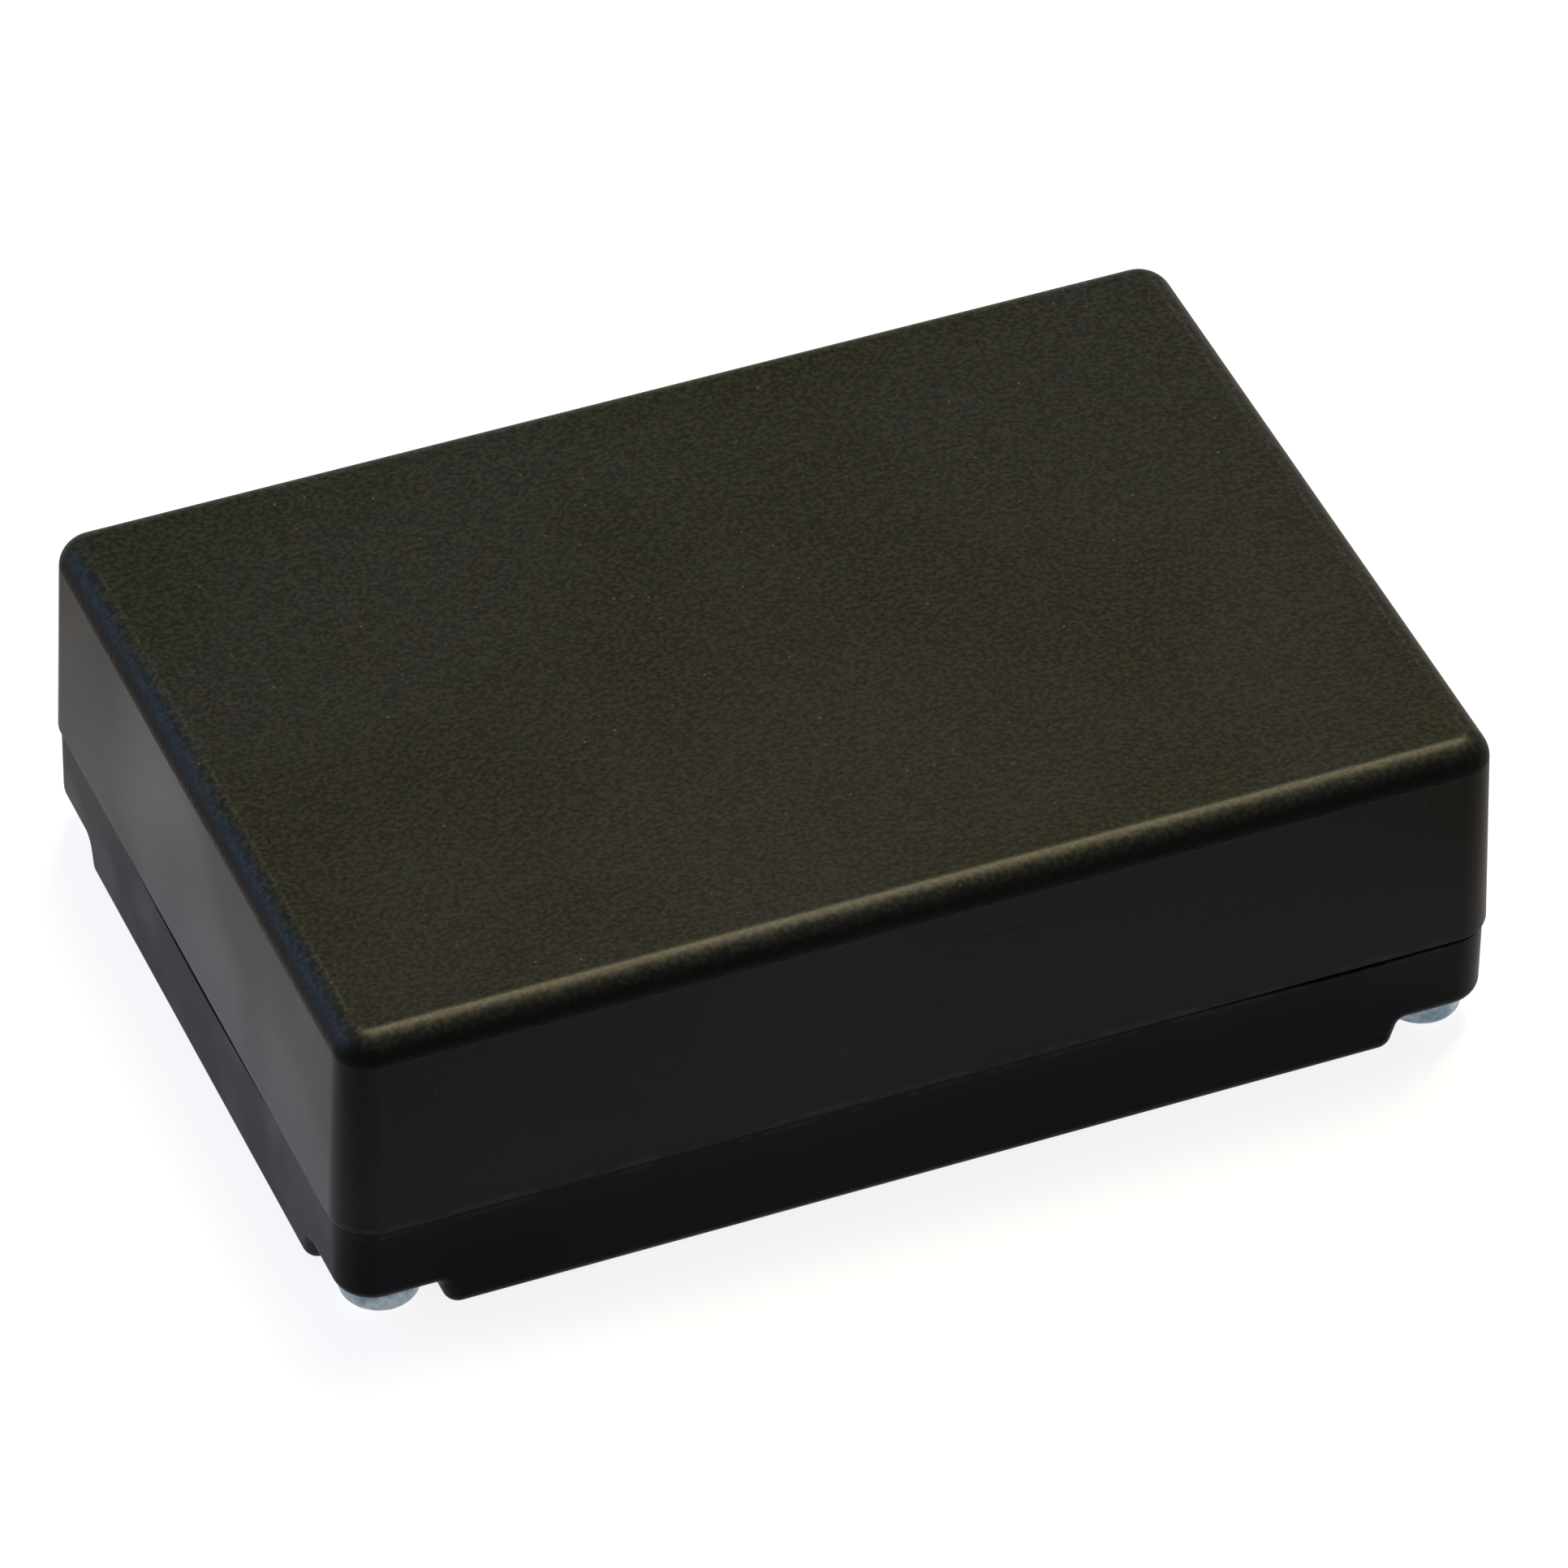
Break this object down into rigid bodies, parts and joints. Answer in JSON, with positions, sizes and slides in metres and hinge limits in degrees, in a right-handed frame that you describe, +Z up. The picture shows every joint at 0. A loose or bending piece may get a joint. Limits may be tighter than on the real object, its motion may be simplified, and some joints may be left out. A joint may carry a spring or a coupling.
{
  "type": "plastic project box",
  "caption": "Small moulded project box standing closed face up: deep case with a rolled top edge, stepped bottom cover and pan-head screws in open corner recesses.",
  "frame": {"origin": "centre of the outline in the plane of the cover's flat foot", "axes": "+X along the length, +Y along the width, +Z up from the foot to the closed face of the case"},
  "size_m": [0.072, 0.05, 0.0215],
  "materials": {
    "case_plastic": "fine spark-eroded grain on the closed face and rolled edge, satin smooth side walls",
    "cover_plastic": "satin smooth",
    "zinc_steel": "bright blue-passivated zinc plating"
  },
  "bodies": {
    "root": {"case_shell": "case_plastic", "bottom_cover": "cover_plastic", "cover_screws": "zinc_steel"}
  },
  "joints": []
}
